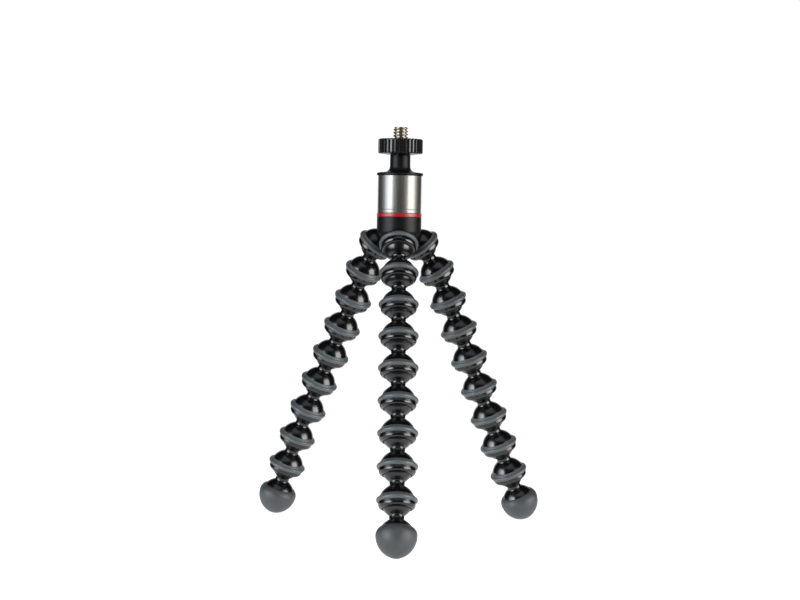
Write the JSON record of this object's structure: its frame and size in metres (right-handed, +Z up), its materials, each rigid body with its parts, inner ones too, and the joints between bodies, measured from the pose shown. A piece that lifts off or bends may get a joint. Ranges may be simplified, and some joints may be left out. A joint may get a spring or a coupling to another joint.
{
  "type": "flexible tripod",
  "caption": "Small flexible camera tripod: three legs of ball and socket segments with grip rings, a short head with a camera screw and a knurled lock ring.",
  "frame": {"origin": "on the floor under the middle of the head, on the camera screw's axis", "axes": "+Z up along the camera screw; the first leg comes forward along -Y, the second goes to +X and back, the third to -X and back"},
  "size_m": [0.123, 0.1134, 0.1694],
  "materials": {
    "moulded_abs": "glossy moulded",
    "soft_ring": "satin soft moulding",
    "foot_rubber": "matte",
    "accent_plastic": "glossy moulded",
    "polished_steel": "polished",
    "head_plastic": "satin moulded",
    "nickel_plate": "nickel plated",
    "knurled_plastic": "fine matte"
  },
  "bodies": {
    "hub": {"hub_body": "moulded_abs", "accent_band": "accent_plastic", "steel_sleeve": "polished_steel", "head_cap": "head_plastic", "camera_screw": "nickel_plate"},
    "lock_ring": {"lock_ring": "knurled_plastic"},
    "leg_1_segment_1": {"leg_1_segment_1": "moulded_abs", "leg_1_ring_1": "soft_ring"},
    "leg_1_segment_2": {"leg_1_segment_2": "moulded_abs", "leg_1_ring_2": "soft_ring"},
    "leg_1_segment_3": {"leg_1_segment_3": "moulded_abs", "leg_1_ring_3": "soft_ring"},
    "leg_1_segment_4": {"leg_1_segment_4": "moulded_abs", "leg_1_ring_4": "soft_ring"},
    "leg_1_segment_5": {"leg_1_segment_5": "moulded_abs", "leg_1_ring_5": "soft_ring"},
    "leg_1_segment_6": {"leg_1_segment_6": "moulded_abs", "leg_1_ring_6": "soft_ring"},
    "leg_1_segment_7": {"leg_1_segment_7": "moulded_abs", "leg_1_ring_7": "soft_ring"},
    "leg_1_segment_8": {"leg_1_segment_8": "moulded_abs", "leg_1_ring_8": "soft_ring"},
    "leg_1_foot": {"leg_1_foot": "moulded_abs", "leg_1_foot_cap": "foot_rubber"},
    "leg_2_segment_1": {"leg_2_segment_1": "moulded_abs", "leg_2_ring_1": "soft_ring"},
    "leg_2_segment_2": {"leg_2_segment_2": "moulded_abs", "leg_2_ring_2": "soft_ring"},
    "leg_2_segment_3": {"leg_2_segment_3": "moulded_abs", "leg_2_ring_3": "soft_ring"},
    "leg_2_segment_4": {"leg_2_segment_4": "moulded_abs", "leg_2_ring_4": "soft_ring"},
    "leg_2_segment_5": {"leg_2_segment_5": "moulded_abs", "leg_2_ring_5": "soft_ring"},
    "leg_2_segment_6": {"leg_2_segment_6": "moulded_abs", "leg_2_ring_6": "soft_ring"},
    "leg_2_segment_7": {"leg_2_segment_7": "moulded_abs", "leg_2_ring_7": "soft_ring"},
    "leg_2_segment_8": {"leg_2_segment_8": "moulded_abs", "leg_2_ring_8": "soft_ring"},
    "leg_2_foot": {"leg_2_foot": "moulded_abs", "leg_2_foot_cap": "foot_rubber"},
    "leg_3_segment_1": {"leg_3_segment_1": "moulded_abs", "leg_3_ring_1": "soft_ring"},
    "leg_3_segment_2": {"leg_3_segment_2": "moulded_abs", "leg_3_ring_2": "soft_ring"},
    "leg_3_segment_3": {"leg_3_segment_3": "moulded_abs", "leg_3_ring_3": "soft_ring"},
    "leg_3_segment_4": {"leg_3_segment_4": "moulded_abs", "leg_3_ring_4": "soft_ring"},
    "leg_3_segment_5": {"leg_3_segment_5": "moulded_abs", "leg_3_ring_5": "soft_ring"},
    "leg_3_segment_6": {"leg_3_segment_6": "moulded_abs", "leg_3_ring_6": "soft_ring"},
    "leg_3_segment_7": {"leg_3_segment_7": "moulded_abs", "leg_3_ring_7": "soft_ring"},
    "leg_3_segment_8": {"leg_3_segment_8": "moulded_abs", "leg_3_ring_8": "soft_ring"},
    "leg_3_foot": {"leg_3_foot": "moulded_abs", "leg_3_foot_cap": "foot_rubber"}
  },
  "joints": [
    {"name": "leg_1_ball_1", "type": "hinge", "parent": "hub", "child": "leg_1_segment_1", "pos_m": [0, -0.0114, 0.1198], "axis": [-0.9993, -0.0384, 0], "range_deg": [-15.2, 37.6]},
    {"name": "leg_1_ball_2", "type": "hinge", "parent": "leg_1_segment_1", "child": "leg_1_segment_2", "pos_m": [0.00026, -0.01817, 0.10797], "axis": [0.0317, -0.9179, 0.3955], "range_deg": [-25.6, 25.8]},
    {"name": "leg_1_ball_3", "type": "hinge", "parent": "leg_1_segment_2", "child": "leg_1_segment_3", "pos_m": [0.00045, -0.02356, 0.09545], "axis": [0.9995, 0.0305, 0], "range_deg": [-26.4, 26.5]},
    {"name": "leg_1_ball_4", "type": "hinge", "parent": "leg_1_segment_3", "child": "leg_1_segment_4", "pos_m": [0.00061, -0.02896, 0.08294], "axis": [0.0244, -0.9168, 0.3987], "range_deg": [-26.4, 26.5]},
    {"name": "leg_1_ball_5", "type": "hinge", "parent": "leg_1_segment_4", "child": "leg_1_segment_5", "pos_m": [0.00076, -0.03439, 0.07044], "axis": [-0.9997, -0.0227, 0], "range_deg": [-26.7, 26.2]},
    {"name": "leg_1_ball_6", "type": "hinge", "parent": "leg_1_segment_5", "child": "leg_1_segment_6", "pos_m": [0.00088, -0.03987, 0.05796], "axis": [-0.0171, 0.9134, -0.4067], "range_deg": [-26.5, 26.4]},
    {"name": "leg_1_ball_7", "type": "hinge", "parent": "leg_1_segment_6", "child": "leg_1_segment_7", "pos_m": [0.00098, -0.04541, 0.04551], "axis": [0.9999, 0.0148, 0], "range_deg": [-26.1, 26.8]},
    {"name": "leg_1_ball_8", "type": "hinge", "parent": "leg_1_segment_7", "child": "leg_1_segment_8", "pos_m": [0.00107, -0.05103, 0.03309], "axis": [-0.0099, 0.9078, -0.4194], "range_deg": [-26.5, 26.4]},
    {"name": "leg_1_ball_9", "type": "hinge", "parent": "leg_1_segment_8", "child": "leg_1_foot", "pos_m": [0.00113, -0.05675, 0.02072], "axis": [-1, -0.007, 0], "range_deg": [-27, 25.9]},
    {"name": "leg_2_ball_1", "type": "hinge", "parent": "hub", "child": "leg_2_segment_1", "pos_m": [0.00987, 0.0057, 0.1198], "axis": [0.4163, -0.9092, 0], "range_deg": [-18.4, 34.1]},
    {"name": "leg_2_ball_2", "type": "hinge", "parent": "leg_2_segment_1", "child": "leg_2_segment_2", "pos_m": [0.01662, 0.00879, 0.10837], "axis": [0.8205, 0.3876, 0.42], "range_deg": [-25.6, 24.9]},
    {"name": "leg_2_ball_3", "type": "hinge", "parent": "leg_2_segment_2", "child": "leg_2_segment_3", "pos_m": [0.0218, 0.01124, 0.096], "axis": [-0.438, 0.899, 0], "range_deg": [-27.7, 25.2]},
    {"name": "leg_2_ball_4", "type": "hinge", "parent": "leg_2_segment_3", "child": "leg_2_segment_4", "pos_m": [0.02671, 0.01363, 0.08351], "axis": [0.8239, 0.4137, 0.3873], "range_deg": [-26.7, 26.2]},
    {"name": "leg_2_ball_5", "type": "hinge", "parent": "leg_2_segment_4", "child": "leg_2_segment_5", "pos_m": [0.03142, 0.016, 0.07094], "axis": [0.4594, -0.8882, 0], "range_deg": [-26.1, 26.8]},
    {"name": "leg_2_ball_6", "type": "hinge", "parent": "leg_2_segment_5", "child": "leg_2_segment_6", "pos_m": [0.03604, 0.01838, 0.05834], "axis": [-0.8157, -0.4344, -0.3821], "range_deg": [-26.2, 26.7]},
    {"name": "leg_2_ball_7", "type": "hinge", "parent": "leg_2_segment_6", "child": "leg_2_segment_7", "pos_m": [0.04063, 0.02083, 0.04575], "axis": [-0.4806, 0.8769, 0], "range_deg": [-26, 26.9]},
    {"name": "leg_2_ball_8", "type": "hinge", "parent": "leg_2_segment_7", "child": "leg_2_segment_8", "pos_m": [0.04529, 0.02338, 0.0332], "axis": [-0.7966, -0.4491, -0.4045], "range_deg": [-26.2, 26.7]},
    {"name": "leg_2_ball_9", "type": "hinge", "parent": "leg_2_segment_8", "child": "leg_2_foot", "pos_m": [0.0501, 0.02609, 0.02073], "axis": [0.5015, -0.8652, 0], "range_deg": [-27.8, 25.1]},
    {"name": "leg_3_ball_1", "type": "hinge", "parent": "hub", "child": "leg_3_segment_1", "pos_m": [-0.00987, 0.0057, 0.1198], "axis": [0.6884, 0.7254, 0], "range_deg": [-15.7, 34.4]},
    {"name": "leg_3_ball_2", "type": "hinge", "parent": "leg_3_segment_1", "child": "leg_3_segment_2", "pos_m": [-0.01495, 0.01052, 0.1081], "axis": [-0.68, 0.5932, 0.4308], "range_deg": [-27.2, 24.7]},
    {"name": "leg_3_ball_3", "type": "hinge", "parent": "leg_3_segment_2", "child": "leg_3_segment_3", "pos_m": [-0.01937, 0.01438, 0.0958], "axis": [-0.6252, -0.7804, 0], "range_deg": [-25.8, 27]},
    {"name": "leg_3_ball_4", "type": "hinge", "parent": "leg_3_segment_3", "child": "leg_3_segment_4", "pos_m": [-0.02406, 0.01813, 0.08357], "axis": [-0.7233, 0.5313, 0.441], "range_deg": [-27.5, 25.4]},
    {"name": "leg_3_ball_5", "type": "hinge", "parent": "leg_3_segment_4", "child": "leg_3_segment_5", "pos_m": [-0.0289, 0.02169, 0.07133], "axis": [0.5577, 0.83, 0], "range_deg": [-26, 26.9]},
    {"name": "leg_3_ball_6", "type": "hinge", "parent": "leg_3_segment_5", "child": "leg_3_segment_6", "pos_m": [-0.03381, 0.02498, 0.05905], "axis": [0.7747, -0.4747, -0.4178], "range_deg": [-25.4, 27.5]},
    {"name": "leg_3_ball_7", "type": "hinge", "parent": "leg_3_segment_6", "child": "leg_3_segment_7", "pos_m": [-0.03866, 0.02796, 0.04667], "axis": [-0.4863, -0.8738, 0], "range_deg": [-27.9, 24.9]},
    {"name": "leg_3_ball_8", "type": "hinge", "parent": "leg_3_segment_7", "child": "leg_3_segment_8", "pos_m": [-0.04335, 0.03057, 0.03414], "axis": [0.8335, -0.4192, -0.3599], "range_deg": [-25.4, 27.3]},
    {"name": "leg_3_ball_9", "type": "hinge", "parent": "leg_3_segment_8", "child": "leg_3_foot", "pos_m": [-0.04773, 0.03277, 0.02142], "axis": [0.4115, 0.9114, 0], "range_deg": [-23.9, 29]},
    {"name": "lock_ring_turn", "type": "hinge", "parent": "hub", "child": "lock_ring", "pos_m": [0, 0, 0.16135], "axis": [0, 0, 1], "continuous": true}
  ]
}
